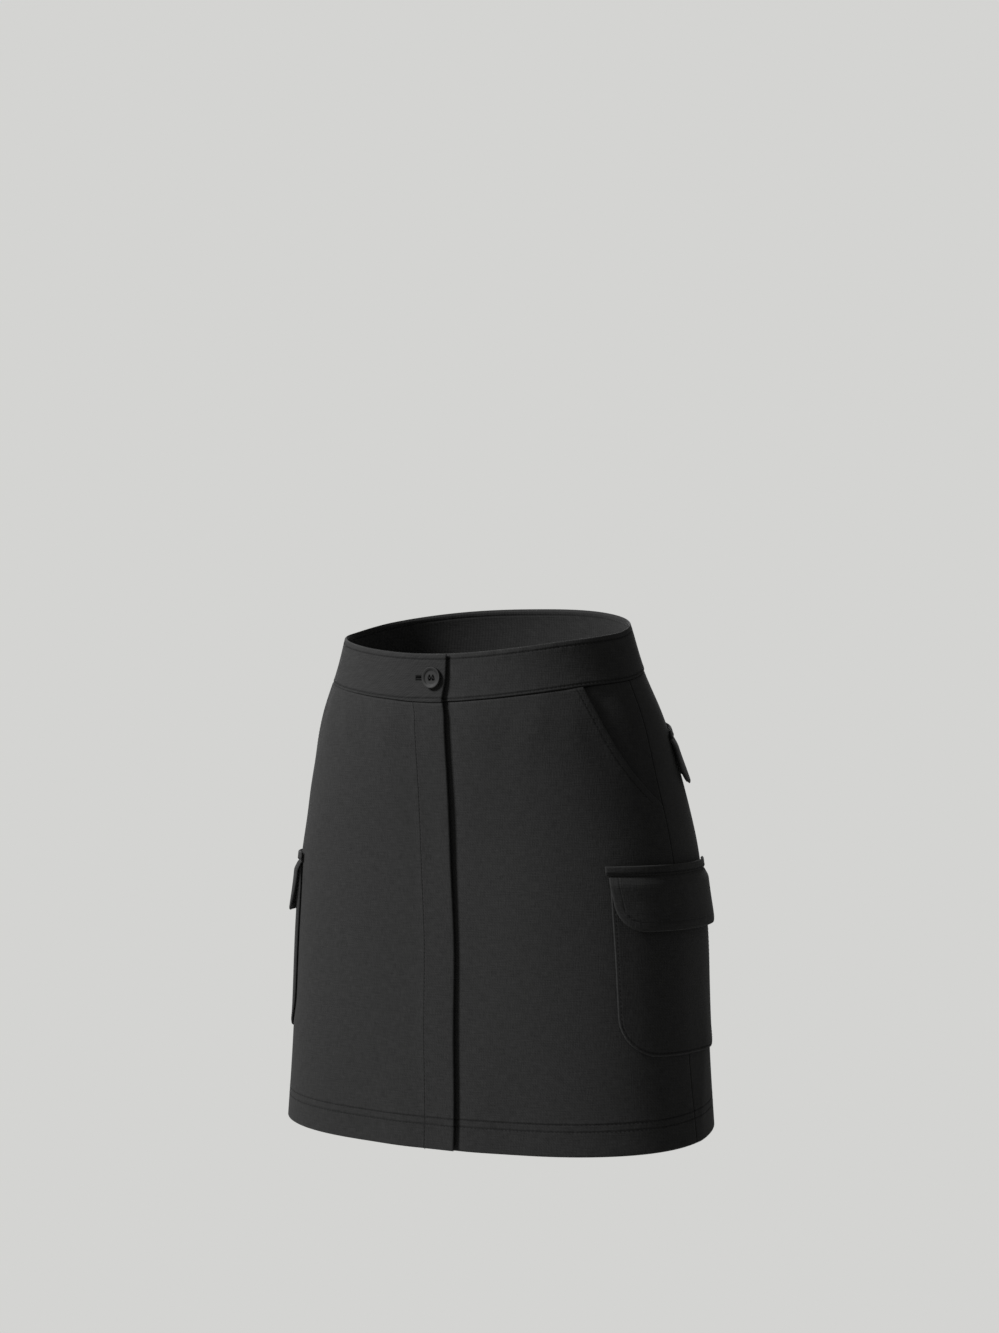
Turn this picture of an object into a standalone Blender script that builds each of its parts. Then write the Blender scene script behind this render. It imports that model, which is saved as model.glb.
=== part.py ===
"""Utility skirt of charcoal twill, in the hollow form that it keeps when it is worn.

The front is -Y, the wearer's left is +X and up is +Z. The origin is the centre of the waist,
level with the band's top edge at the sides. Sizes are millimetres until points become mesh.
Each piece starts as a flat slab of cloth, whose points are then moved to their place on the
worn form: a distance round the form from the centre front, a height, and a distance outwards.
"""
import math

import bmesh
import bpy
import numpy as np

MM = 0.001
LAYER = 1.5            # one layer of twill
DOUBLE = 2.2           # two layers sewn together: flaps
SEAM = 0.3             # air left between pieces that are sewn edge to edge
LIFT = 0.45            # air left under a piece that lies on another
BAND = 2.4             # waistband, folded double
LAP = 28.0             # the free edge's turned facing
TURN_UP = 24.5         # the hem's turned strip

# The worn form, from above the waist to below the hem.
SECTIONS = (
    # height, half width, front depth, back depth, squareness
    (22.0, 115.5, 79.5, 71.0, 2.00),
    (7.0, 121.0, 81.0, 76.5, 2.00),
    (-31.0, 132.2, 84.1, 86.6, 2.05),
    (-68.0, 147.5, 86.2, 100.3, 2.07),
    (-113.0, 159.4, 83.7, 118.3, 2.10),
    (-163.0, 170.8, 79.2, 132.5, 2.14),
    (-233.0, 177.3, 77.4, 131.5, 2.20),
    (-303.0, 180.4, 77.4, 126.0, 2.25),
    (-412.0, 187.6, 81.0, 121.0, 2.30),
)

# Soft upright folds that open towards the hem, the same on both sides.
FOLDS = (
    # turn from the front, half width, height where it starts, swell at the hem
    (99.0, 9.0, -225.0, 2.6),
    (122.0, 12.0, -250.0, -2.2),
    (146.0, 13.0, -230.0, 2.4),
    (166.0, 10.0, -250.0, -1.6),
    (44.0, 15.0, -280.0, -1.2),
)

# Edges that run round the skirt lie on sloping planes: height at the axis, rise per mm backwards.
TOP_EDGE = (0.0, 0.207)
BAND_SEAM = (-37.7, 0.185)
HEM = (-393.0, 0.125)

# The side seam and the hand pocket's opening, as distances in front of the widest line.
SIDE_SEAM = (
    # height, distance ahead
    (10.0, 8.0),
    (-130.0, 8.6),
    (-180.0, 6.2),
    (-330.0, 1.6),
    (-412.0, 2.8),
)
POCKET_EDGE = (
    # height, distance ahead
    (-30.0, 53.8),
    (-44.0, 52.4),
    (-60.0, 49.6),
    (-76.0, 45.4),
    (-94.0, 38.6),
    (-113.0, 28.0),
    (-124.0, 19.6),
    (-134.0, 8.6),
)
POCKET_END = -134.0
TURNED = 17.0          # worn turned a little: the right side sits this much further back than the left

# The right front laps over the left front. Distances from the centre front, at waist and hem.
LAP_EDGE = (15.0, 17.5)
UNDERLAP_EDGE = -13.0
UNDERLAP_DROP = 3.6    # how far the left front lies below the form under the lap
BAND_DROP = 3.2        # the same for the waistband's under end


def curve(rows, at):
    """Values of a table at the given heights, along a smooth curve through its rows."""
    rows = np.array(rows, float)[::-1]
    at = np.clip(np.asarray(at, float), rows[0, 0], rows[-1, 0])
    x, y = rows[:, 0], rows[:, 1:]
    slope = np.gradient(y, x, axis=0)
    i = np.clip(np.searchsorted(x, at) - 1, 0, len(x) - 2)
    h = (x[i + 1] - x[i])[..., None]
    u = ((at - x[i]) / h[..., 0])[..., None]
    return ((2 * u ** 3 - 3 * u ** 2 + 1) * y[i] + (u ** 3 - 2 * u ** 2 + u) * h * slope[i]
            + (3 * u ** 2 - 2 * u ** 3) * y[i + 1] + (u ** 3 - u ** 2) * h * slope[i + 1])


def smooth(value, start, end):
    """0 before start, 1 after end and a soft step between."""
    u = np.clip((np.asarray(value, float) - start) / (end - start), 0.0, 1.0)
    return u * u * (3 - 2 * u)


def radius(turn, z, folded=True):
    """Distance of the form's outer face from the axis, at a turn from the front."""
    half, front, back, power = np.moveaxis(curve(SECTIONS, z), -1, 0)
    depth = np.where(np.cos(turn) > 0, front, back)
    r = (np.abs(np.sin(turn) / half) ** power + np.abs(np.cos(turn) / depth) ** power) ** (-1 / power)
    if folded:
        away = np.abs(np.degrees(np.arctan2(np.sin(turn), np.cos(turn))))
        for centre, width, start, swell in FOLDS:
            down = smooth(start - z, 0.0, start - HEM[0])
            r = r + swell * down * np.exp(-((away - centre) / width) ** 2)
    return r


def on_form(turn, z, out=0.0):
    """Point of the worn form, moved out along its normal."""
    def spot(turn, z):
        r = radius(turn, z)
        return np.stack([r * np.sin(turn), -r * np.cos(turn), z], -1)
    across = spot(turn + 2e-3, z) - spot(turn - 2e-3, z)
    up = spot(turn, z + 0.5) - spot(turn, z - 0.5)
    normal = np.cross(across, up)
    normal /= np.linalg.norm(normal, axis=-1, keepdims=True)
    return spot(turn, z) + normal * np.broadcast_to(out, np.shape(turn))[..., None]


# Distance round the form from the centre front, for every half degree at a range of heights.
TURNS = np.linspace(0.0, math.pi, 361)
HEIGHTS = np.linspace(-420.0, 25.0, 90)
ring_r = radius(TURNS[None, :], HEIGHTS[:, None], folded=False)
ring_xy = np.stack([ring_r * np.sin(TURNS), ring_r * np.cos(TURNS)], -1)
steps = np.linalg.norm(np.diff(ring_xy, axis=1), axis=-1)
ARCS = np.concatenate([np.zeros((len(HEIGHTS), 1)), np.cumsum(steps, axis=1)], axis=1)


def side_arc(z):
    """Distance round from the centre front to the widest line."""
    return np.interp(z, HEIGHTS, ARCS[:, 180])


def half_arc(z):
    """Distance round from the centre front to the centre back."""
    return np.interp(z, HEIGHTS, ARCS[:, -1])


def turn_at(arc, z):
    """Turn from the front of points at a distance round from the centre front."""
    arc, z = np.broadcast_arrays(np.asarray(arc, float), np.asarray(z, float))
    half = half_arc(z)
    arc = (arc + half) % (2 * half) - half
    turns = np.empty(arc.shape)
    for k in np.ndindex(arc.shape):
        i = min(int((z[k] - HEIGHTS[0]) / (HEIGHTS[1] - HEIGHTS[0])), len(HEIGHTS) - 2)
        share = (z[k] - HEIGHTS[i]) / (HEIGHTS[i + 1] - HEIGHTS[i])
        ring = ARCS[i] * (1 - share) + ARCS[i + 1] * share
        turns[k] = np.sign(arc[k]) * np.interp(abs(arc[k]), ring, TURNS)
    return turns


def plane(edge):
    """Height of a sloping edge at a turn, solved on the form."""
    def height(p):
        z = np.full(np.shape(p.turn), edge[0])
        for _ in range(4):
            z = edge[0] - edge[1] * radius(p.turn, z, folded=False) * np.cos(p.turn)
        return z
    return height


def lines(near, steps, far):
    """Grid lines: some at set distances from the start, equal steps, some at set distances from the end."""
    rows = [(0.0, d) for d in near]
    for k in range(1, steps):
        f = k / steps
        rows.append((f, near[-1] * (1 - f) - far[0] * f))
    return np.array(rows + [(1.0, -d) for d in far])


class Spot:
    """Where the points of a slab are: fields are arrays with one value for each point."""


def slab(columns, rows):
    """Flat slab with the given numbers of grid lines, and each vertex's column, row and face."""
    bm = bmesh.new()
    bmesh.ops.create_grid(bm, x_segments=columns - 1, y_segments=rows - 1, size=0.5)
    grown = bmesh.ops.extrude_face_region(bm, geom=bm.faces[:])
    for v in grown["geom"]:
        if isinstance(v, bmesh.types.BMVert):
            v.co.z = 1.0
    co = np.array([v.co for v in bm.verts])
    column = np.rint((co[:, 0] + 0.5) * (columns - 1)).astype(int)
    row = np.rint((0.5 - co[:, 1]) * (rows - 1)).astype(int)
    return bm, column, row, co[:, 2] > 0.5


def cloth(name, side, start, end, top, bottom, columns, rows, inner, outer, material):
    """Piece of cloth on the form. Distances round grow towards its own side: 1 left, -1 right."""
    bm, column, row, outside = slab(len(columns), len(rows))
    p = Spot()
    p.z = np.full(len(column), 0.5 * (BAND_SEAM[0] + HEM[0]))
    for _ in range(7):
        p.a, p.b = start(p.z), end(p.z)
        p.arc = p.a * (1 - columns[column, 0]) + p.b * columns[column, 0] + columns[column, 1]
        p.turn = turn_at(p.arc, p.z)
        p.top = top(p)
        p.bottom = bottom(p)
        p.z = p.top * (1 - rows[row, 0]) + p.bottom * rows[row, 0] - rows[row, 1]
    out = np.where(outside, outer(p), inner(p))
    for v, co in zip(bm.verts, on_form(p.turn, p.z, out)):
        v.co = (side * co[0] * MM, co[1] * MM, co[2] * MM)
    bmesh.ops.recalc_face_normals(bm, faces=bm.faces[:])
    return node(name, bm, material)


def node(name, bm, material):
    """Object in the parts collection from a finished mesh."""
    mesh = bpy.data.meshes.new(name)
    bm.to_mesh(mesh)
    bm.free()
    mesh.materials.append(material)
    made = bpy.data.objects.new(name, mesh)
    parts.objects.link(made)
    return made


def cutter(name, bm):
    """Tool that is cut away from a part and never shown."""
    mesh = bpy.data.meshes.new(name)
    bm.to_mesh(mesh)
    bm.free()
    made = bpy.data.objects.new(name, mesh)
    cutters.objects.link(made)
    made.hide_render = True
    made.display_type = "WIRE"
    return made


def cut(part, tool):
    """Cut a tool away from a part."""
    modifier = part.modifiers.new(tool.name, "BOOLEAN")
    modifier.operation = "DIFFERENCE"
    modifier.solver = "EXACT"
    modifier.object = tool


def finish(name, srgb, roughness):
    """Plain material with an sRGB colour of 0 to 255."""
    made = bpy.data.materials.new(name)
    made.use_nodes = True
    shader = made.node_tree.nodes["Principled BSDF"]
    linear = [((c / 255 + 0.055) / 1.055) ** 2.4 for c in srgb]
    shader.inputs["Base Color"].default_value = (*linear, 1.0)
    shader.inputs["Roughness"].default_value = roughness
    shader.inputs["Metallic"].default_value = 0.0
    return made


for made in list(bpy.data.objects):
    bpy.data.objects.remove(made)
parts = bpy.data.collections.new("parts")
cutters = bpy.data.collections.new("cutters")
bpy.context.scene.collection.children.link(parts)
bpy.context.scene.collection.children.link(cutters)

TWILL = finish("charcoal_twill", (47, 47, 49), 0.92)
RESIN = finish("black_resin", (26, 26, 28), 0.42)

# Edges as functions of height, on a piece's own side.
hip = lambda side, z: side_arc(z) + (TURNED if side < 0 else 0.0)
seam_line = lambda side, z: hip(side, z) - curve(SIDE_SEAM, z)[..., 0]
pocket_line = lambda side, z: np.where(z > POCKET_END, hip(side, z) - curve(POCKET_EDGE, z)[..., 0], seam_line(side, z))
back_line = lambda side, z: half_arc(z) - side * TURNED / 2
lap_line = lambda z: np.interp(-z, (60.0, 400.0), LAP_EDGE)
band_top, band_seam, hem_edge = plane(TOP_EDGE), plane(BAND_SEAM), plane(HEM)
below_band = lambda p: band_seam(p) - SEAM


def hem_layers(p):
    """Extra thickness inside, where the hem is turned up."""
    return LAYER * (1 - smooth(p.z - p.bottom, TURN_UP, TURN_UP + 1.5))


BODY_ROWS = lines((0.0, 12.0), 19, (TURN_UP + 1.5, TURN_UP, 12.0, 0.0))


def front_right():
    """Right front: its free edge is turned under and laps over the left front, waist to hem."""
    inside = lambda p: -LAYER - np.maximum(1.1 * (1 - smooth(p.arc - p.a, LAP, LAP + 1.5)), hem_layers(p))
    outside = lambda p: 0.35 * (1 - smooth(p.arc - p.a, LAP - 2.0, LAP + 4.0))
    columns = lines((0.0, 2.0, 14.0, LAP, LAP + 1.5, LAP + 12.0), 12, (56.0, 48.0, 40.0, 32.0, 24.0, 16.0, 8.0, 0.0))
    return cloth("front_right", -1, lambda z: -lap_line(z), lambda z: pocket_line(-1, z) - SEAM / 2,
                 below_band, hem_edge, columns, BODY_ROWS, inside, outside, TWILL)


def front_left():
    """Left front: runs on under the right front's lap."""
    drop = lambda p: UNDERLAP_DROP * (1 - smooth(p.arc, LAP_EDGE[1] + 1.0, 62.0))
    inside = lambda p: -LAYER - drop(p) - hem_layers(p)
    outside = lambda p: -drop(p)
    columns = lines((0.0, 14.0, 28.0, 34.0, 42.0, 50.0, 58.0, 66.0), 7,
                    (56.0, 48.0, 40.0, 32.0, 24.0, 16.0, 8.0, 0.0))
    return cloth("front_left", 1, lambda z: np.full(np.shape(z), UNDERLAP_EDGE), lambda z: pocket_line(1, z) - SEAM / 2,
                 below_band, hem_edge, columns, BODY_ROWS, inside, outside, TWILL)


def back(name, side):
    """Half of the back, from the side seam to the centre back seam."""
    columns = lines((0.0, 8.0, 16.0, 24.0, 32.0, 40.0, 48.0, 56.0, 64.0, 72.0, 80.0, 90.0), 9, (8.0, 0.0))
    return cloth(name, side, lambda z: seam_line(side, z) + SEAM / 2, lambda z: back_line(side, z) - SEAM / 2,
                 below_band, hem_edge, columns, BODY_ROWS,
                 lambda p: -LAYER - hem_layers(p), lambda p: np.zeros(len(p.z)), TWILL)


def pocket_bag(name, side):
    """Hand pocket: the side piece seen in the slanted opening, running on under the front as the bag."""
    def bottom(p):
        near = np.clip(np.minimum(p.arc - p.a, p.b - p.arc), 0.0, 30.0)
        return -212.0 + 30.0 - np.sqrt(np.maximum(30.0 ** 2 - (30.0 - near) ** 2, 0.0))
    sunk = lambda p: (LAYER + LIFT + 0.1) * (1 - smooth(p.arc - pocket_line(side, p.z), 5.0, 30.0) * (p.z > POCKET_END))
    columns = lines((0.0, 1.5, 6.0, 14.0, 24.0, 34.0), 5, (56.0, 48.0, 40.0, 32.0, 24.0, 16.0, 10.0, 5.0, 1.5, 0.0))
    return cloth(name, side, lambda z: hip(side, z) - 108.0, lambda z: seam_line(side, z) - SEAM / 2,
                 below_band, bottom, columns, lines((0.0, 12.0), 13, (0.0,)),
                 lambda p: -1.2 - sunk(p), lambda p: -sunk(p), TWILL)


def waistband():
    """One straight strip, from the under end at the front, round the waist to the end that laps over it."""
    drop = lambda p: BAND_DROP * (1 - smooth(p.arc, LAP_EDGE[0] + 2.0, 58.0))
    columns = lines((0.0, 14.0, 28.0, 34.0, 42.0, 50.0, 58.0, 66.0), 54, (14.0, 2.0, 0.0))
    made = cloth("waistband", 1, lambda z: np.full(np.shape(z), UNDERLAP_EDGE), lambda z: 2 * half_arc(z) + LAP_EDGE[0],
                 band_top, band_seam, columns, lines((0.0, 1.2), 4, (1.2, 0.0)),
                 lambda p: 0.8 - BAND - drop(p), lambda p: 0.8 - drop(p), TWILL)
    hole = bmesh.new()
    bmesh.ops.create_cone(hole, cap_ends=True, segments=24, radius1=1.5 * MM, radius2=1.5 * MM, depth=12.0 * MM)
    for v in hole.verts:
        v.co.x += math.copysign((BUTTONHOLE / 2 - 1.5) * MM, v.co.x) if abs(v.co.x) > 1e-7 else 0.0
    seat = button_frame(0.0)
    for v in hole.verts:
        local = np.array(v.co) / MM + np.array([HOLE_CENTRE - BUTTON_X, 0.0, 6.0 - 2.05])
        v.co = (seat[0] + seat[1:] .T @ local) * MM
    bmesh.ops.recalc_face_normals(hole, faces=hole.faces[:])
    cut(made, cutter("buttonhole_cutter", hole))
    return made


BUTTON_X = 4.0
BUTTON_Z = -37.0
BUTTONHOLE = 17.0      # length of the slot
HOLE_CENTRE = -2.5     # distance of the slot's middle from the centre front


def button_frame(out):
    """Place on the band under the button, then the directions across, up and out."""
    turn = turn_at(BUTTON_X, BUTTON_Z)
    centre = on_form(turn, np.array(BUTTON_Z), out)
    outward = on_form(turn, np.array(BUTTON_Z), out + 1.0) - centre
    across = np.cross([0.0, 0.0, 1.0], outward)
    across /= np.linalg.norm(across)
    return np.stack([centre, across, np.cross(outward, across), outward])


def button():
    """Sewn button: a rimmed disc with four holes, on a thread shank through the buttonhole."""
    profile = (
        # radius, height above the band
        (0.0, -2.9), (1.1, -2.9), (1.1, 0.4), (6.4, 0.4), (7.6, 0.7), (8.25, 1.5), (8.25, 2.3),
        (7.8, 3.1), (7.0, 3.4), (6.2, 3.2), (5.5, 2.6), (4.9, 2.4), (0.0, 2.4),
    )
    bm = bmesh.new()
    chain = [bm.verts.new((r * MM, 0.0, h * MM)) for r, h in profile]
    edges = [bm.edges.new(pair) for pair in zip(chain, chain[1:])]
    bmesh.ops.spin(bm, geom=chain + edges, cent=(0, 0, 0), axis=(0, 0, 1), angle=2 * math.pi, steps=36)
    bmesh.ops.remove_doubles(bm, verts=bm.verts[:], dist=1e-6)
    holes = bmesh.new()
    for k in range(4):
        made = bmesh.ops.create_cone(holes, cap_ends=True, segments=14, radius1=0.8 * MM, radius2=0.8 * MM, depth=3.2 * MM)
        angle = math.pi / 4 + k * math.pi / 2
        bmesh.ops.translate(holes, verts=made["verts"],
                            vec=(2.3 * math.cos(angle) * MM, 2.3 * math.sin(angle) * MM, 1.5 * MM))
    seat = button_frame(0.8)
    for mesh in (bm, holes):
        for v in mesh.verts:
            v.co = (seat[0] + seat[1:].T @ (np.array(v.co) / MM)) * MM
        bmesh.ops.recalc_face_normals(mesh, faces=mesh.faces[:])
    made = node("button", bm, RESIN)
    cut(made, cutter("button_holes_cutter", holes))
    return made


def rounded(low, corner):
    """Level lower edge with rounded corners."""
    def height(p):
        near = np.clip(np.minimum(p.arc - p.a, p.b - p.arc), 0.0, corner)
        return low(p) + corner - np.sqrt(np.maximum(corner ** 2 - (corner - near) ** 2, 0.0))
    return height


def corner_lines(corner, steps):
    """Grid lines across a piece with rounded lower corners, close together in the corners."""
    near = [corner * (1 - math.cos(math.radians(a))) for a in (0, 22, 42, 60, 76, 90)]
    return lines(near, steps, near[::-1])


def cargo_pocket(name, side):
    """Patch pocket over the side seam, its edges turned under."""
    edge = lambda p: 0.5 * (1 - smooth(np.minimum(p.arc - p.a, p.b - p.arc), 1.0, 9.0))
    return cloth(name, side, lambda z: hip(side, z) - 62.4, lambda z: hip(side, z) + 71.0,
                 lambda p: np.full(len(p.z), -192.0), rounded(lambda p: -325.0, 30.0),
                 corner_lines(30.0, 10), lines((0.0,), 8, (12.0, 4.0, 0.0)),
                 lambda p: np.full(len(p.z), LIFT), lambda p: LIFT + 1.5 + edge(p), TWILL)


def flap(name, side, start, end, top, height, corner, steps, stand):
    """Flap of two layers: a flat stitched strip at the top, below which it swells and stands off."""
    def under(p):
        fall = p.top - p.z
        return LIFT + 2.6 * smooth(fall, 5.0, 14.0) * stand[0] + stand[1] * smooth(fall, 6.0, height) * fall / height
    return cloth(name, side, start, end, top, rounded(lambda p: p.top - height, corner),
                 corner_lines(corner, steps), lines((0.0, 6.0, 10.0, 14.0), 4, (4.0, 0.0)),
                 under, lambda p: under(p) + DOUBLE, TWILL)


def cargo_flap(name, side):
    """Flap over the cargo pocket."""
    taper = lambda z: 4.0 * smooth(-z, 182.0, 216.0)
    return flap(name, side, lambda z: hip(side, z) - 64.6 + taper(z), lambda z: hip(side, z) + 73.6 - taper(z),
                lambda p: np.full(len(p.z), -180.0), 50.0, 22.0, 12, (1.0, 2.6))


def back_flap(name, side):
    """Flap on the back, over a pocket that is let into it."""
    return flap(name, side, lambda z: hip(side, z) + 27.5, lambda z: hip(side, z) + 147.5,
                plane((-84.0, 0.15)), 44.0, 16.0, 10, (0.5, 3.4))


front_right()
front_left()
for word, side in (("right", -1), ("left", 1)):
    back("back_" + word, side)
    pocket_bag("pocket_bag_" + word, side)
    cargo_pocket("cargo_pocket_" + word, side)
    cargo_flap("cargo_flap_" + word, side)
    back_flap("back_flap_" + word, side)
waistband()
button()
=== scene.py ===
import math

import bmesh
import bpy
import numpy as np
from mathutils import Matrix, Vector


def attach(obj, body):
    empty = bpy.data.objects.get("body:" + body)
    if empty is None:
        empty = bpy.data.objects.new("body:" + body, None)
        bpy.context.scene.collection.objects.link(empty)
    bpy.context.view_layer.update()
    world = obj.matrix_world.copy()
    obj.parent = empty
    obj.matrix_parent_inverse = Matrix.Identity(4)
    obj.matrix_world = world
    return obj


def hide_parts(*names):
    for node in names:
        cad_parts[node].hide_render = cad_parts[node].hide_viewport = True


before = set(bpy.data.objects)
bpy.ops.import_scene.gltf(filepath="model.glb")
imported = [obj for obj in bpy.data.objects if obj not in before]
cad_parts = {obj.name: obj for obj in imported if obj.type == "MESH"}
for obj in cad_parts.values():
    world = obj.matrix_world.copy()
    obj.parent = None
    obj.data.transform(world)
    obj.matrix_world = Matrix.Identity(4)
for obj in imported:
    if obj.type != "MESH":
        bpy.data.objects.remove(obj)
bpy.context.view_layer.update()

bpy.ops.object.select_all(action="DESELECT")

# Camera: a long portrait lens at about waist height, 33 degrees round to the wearer's left.
# It leans a third of a degree, and looks a little to the right of the skirt's axis.
TURN_LEFT, AWAY, EYE_HEIGHT = math.radians(33), 2.6, 0.020
ASIDE, LOOK_HEIGHT, LEAN = 0.0089, -0.030, math.radians(-0.36)
SENSOR, FOCAL_PIXELS, PICTURE_HEIGHT = 36.0, 3274, 1333
camera_at = Vector((math.sin(TURN_LEFT) * AWAY, -math.cos(TURN_LEFT) * AWAY, EYE_HEIGHT))
look_at = Vector((math.cos(TURN_LEFT) * ASIDE, math.sin(TURN_LEFT) * ASIDE, LOOK_HEIGHT))
bpy.ops.object.camera_add(location=camera_at)
camera = bpy.context.object
camera.name = "camera"
camera.rotation_euler = ((look_at - camera_at).to_track_quat("-Z", "Y").to_matrix()
                         @ Matrix.Rotation(LEAN, 3, "Z")).to_euler()
camera.data.sensor_width = SENSOR
camera.data.lens = SENSOR * FOCAL_PIXELS / PICTURE_HEIGHT
bpy.context.scene.camera = camera

# Backs: two halves of charcoal cotton twill, joined by a plain seam at the centre back and to
# the fronts at the sides. Each is cut flat and hangs from the waistband, over the hips, to a
# hem turned up inside and held by two rows of stitching.


def hex_colour(text):
    """Linear colour of an sRGB hex value."""
    channels = [int(text[k:k + 2], 16) / 255 for k in (1, 3, 5)]
    return (*[c / 12.92 if c <= 0.04045 else ((c + 0.055) / 1.055) ** 2.4 for c in channels], 1.0)


def add(tree, kind, settings, inputs):
    """Node of a kind with its settings, and values or links for its inputs. Gives the node."""
    made = tree.nodes.new(kind)
    for key, value in settings.items():
        setattr(made, key, value)
    for key, value in inputs.items():
        if isinstance(value, bpy.types.NodeSocket):
            tree.links.new(value, made.inputs[key])
        else:
            made.inputs[key].default_value = value
    return made


def calc(tree, operation, *values):
    """Result of a math node."""
    return add(tree, "ShaderNodeMath", {"operation": operation}, dict(enumerate(values))).outputs[0]


def ramp(tree, value, low, high, first=0.0, last=1.0):
    """Value carried from one range to another."""
    return add(tree, "ShaderNodeMapRange", {}, {
        "Value": value, "From Min": low, "From Max": high, "To Min": first, "To Max": last}).outputs[0]


def blend(tree, share, first, second):
    """Mix of two colours."""
    return add(tree, "ShaderNodeMix", {"data_type": "RGBA"}, {0: share, 6: first, 7: second}).outputs[2]


def noise(tree, vector, scale, detail):
    """Noise between 0 and 1."""
    return add(tree, "ShaderNodeTexNoise", {}, {"Vector": vector, "Scale": scale, "Detail": detail}).outputs["Fac"]


def material(name, values):
    """New material with its shader's plain values: itself, its node tree and its shader."""
    made = bpy.data.materials.new(name)
    made.use_nodes = True
    shader = made.node_tree.nodes["Principled BSDF"]
    for key, value in values.items():
        shader.inputs[key].default_value = value
    return made, made.node_tree, shader


def twill_cloth(name, dark, light, worn):
    """Cotton twill, piece dyed charcoal: matte, with slubs in its threads and a faint diagonal wale."""
    made, tree, shader = material(name, {"Roughness": 0.88, "IOR": 1.45, "Specular IOR Level": 0.32,
                                         "Sheen Weight": 0.10, "Sheen Roughness": 0.45})
    uv = add(tree, "ShaderNodeUVMap", {"uv_map": "cut"}, {}).outputs["UV"]
    distance = lambda word: add(tree, "ShaderNodeAttribute", {"attribute_name": word}, {}).outputs["Fac"]
    # Threads are 0.4 mm apart on the real cloth, which is too fine to show, so they are drawn at 0.9 mm.
    warp, weft = [noise(tree, add(tree, "ShaderNodeMapping", {}, {"Vector": uv, "Scale": scale}).outputs[0], 1.0, 1.5)
                  for scale in ((1100, 150, 1), (110, 1100, 1))]
    # The wale is drawn 1.8 mm wide for the same reason.
    wale = add(tree, "ShaderNodeTexWave", {"wave_type": "BANDS", "bands_direction": "DIAGONAL"},
               {"Vector": uv, "Scale": 0.444 / 0.0018, "Distortion": 1.2, "Detail": 1.0}).outputs["Fac"]
    weave = calc(tree, "MULTIPLY_ADD", wale, 0.22, calc(tree, "ADD", warp, weft))
    tone = calc(tree, "MULTIPLY_ADD", noise(tree, uv, 130.0, 4.0), 0.4, weave)
    colour = blend(tree, ramp(tree, tone, 0.78, 1.84), hex_colour(dark), hex_colour(light))
    # Distance to the nearest row of stitching gives the row its groove and its puckers; the groove is also painted
    # dark as shade.
    row = distance("row")
    near = calc(tree, "MULTIPLY", row, 1 / 0.0008)
    groove_and_shade = calc(tree, "EXPONENT", calc(tree, "MULTIPLY", calc(tree, "MULTIPLY", near, near), -1.0))
    beside = calc(tree, "EXPONENT", calc(tree, "MULTIPLY", row, -1 / 0.0035))
    pucker = calc(tree, "MULTIPLY", beside, noise(tree, uv, 150.0, 1.0))
    sewn = calc(tree, "MULTIPLY_ADD", groove_and_shade, -0.7, pucker)
    # Folded edges rub paler, and are painted paler still for the highlight their rounding catches. Seams draw in.
    rub_and_highlight = ramp(tree, distance("edge"), 0.0, 0.0016, 0.16, 0.0)
    # The seam lines are painted dark with the shade of their crevices.
    join = ramp(tree, distance("seam"), 0.0002, 0.0008, 0.7, 0.0)
    # Painted shade: the stitch grooves and the seam lines darken the colour towards near black (#0b0b0b).
    depth = add(tree, "ShaderNodeMath", {"operation": "MULTIPLY_ADD", "use_clamp": True}, {
        0: groove_and_shade, 1: 0.55, 2: join}).outputs[0]
    colour = blend(tree, depth, blend(tree, rub_and_highlight, colour, hex_colour(worn)), hex_colour("#0b0b0b"))
    cloth_bump = add(tree, "ShaderNodeBump", {}, {"Strength": 0.6, "Distance": 0.0003, "Height": weave}).outputs[0]
    sewn_bump = add(tree, "ShaderNodeBump", {}, {
        "Strength": 0.9, "Distance": 0.0007, "Height": sewn, "Normal": cloth_bump}).outputs[0]
    tree.links.new(colour, shader.inputs["Base Color"])
    tree.links.new(sewn_bump, shader.inputs["Normal"])
    return made


# The last colour is the paler one of folded edges: part wear, part painted highlight.
twill = twill_cloth("charcoal_twill", "#232323", "#3a3a3a", "#4a4a4a")

# Polyester sewing thread, a shade darker than the cloth, with the soft gloss of its twist.
thread, tree, shader = material("charcoal_thread", {"Roughness": 0.75, "Specular IOR Level": 0.2})
strand = add(tree, "ShaderNodeTexWave", {"bands_direction": "DIAGONAL"}, {
    "Vector": add(tree, "ShaderNodeTexCoord", {}, {}).outputs["Object"], "Scale": 900.0}).outputs["Fac"]
tree.links.new(blend(tree, strand, hex_colour("#111111"), hex_colour("#1f1f1f")), shader.inputs["Base Color"])

# The worn form in millimetres, as the solids have it.
FORM = np.array([
    # height, half width, front depth, back depth, squareness
    (-412.0, 187.6, 81.0, 121.0, 2.30),
    (-303.0, 180.4, 77.4, 126.0, 2.25),
    (-233.0, 177.3, 77.4, 131.5, 2.20),
    (-163.0, 170.8, 79.2, 132.5, 2.14),
    (-113.0, 159.4, 83.7, 118.3, 2.10),
    (-68.0, 147.5, 86.2, 100.3, 2.07),
    (-31.0, 132.2, 84.1, 86.6, 2.05),
    (7.0, 121.0, 81.0, 76.5, 2.00),
    (22.0, 115.5, 79.5, 71.0, 2.00),
])
FOLDS = (
    # turn from the front, half width, height where it starts, swell at the hem, how round it is
    (98.5, 8.0, -225.0, 3.4, 1.15),
    (122.0, 12.0, -250.0, -2.2, 2.0),
    (146.0, 13.0, -230.0, 2.4, 2.0),
    (166.0, 10.0, -250.0, -1.6, 2.0),
    (44.0, 15.0, -280.0, -1.2, 2.0),
)
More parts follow.
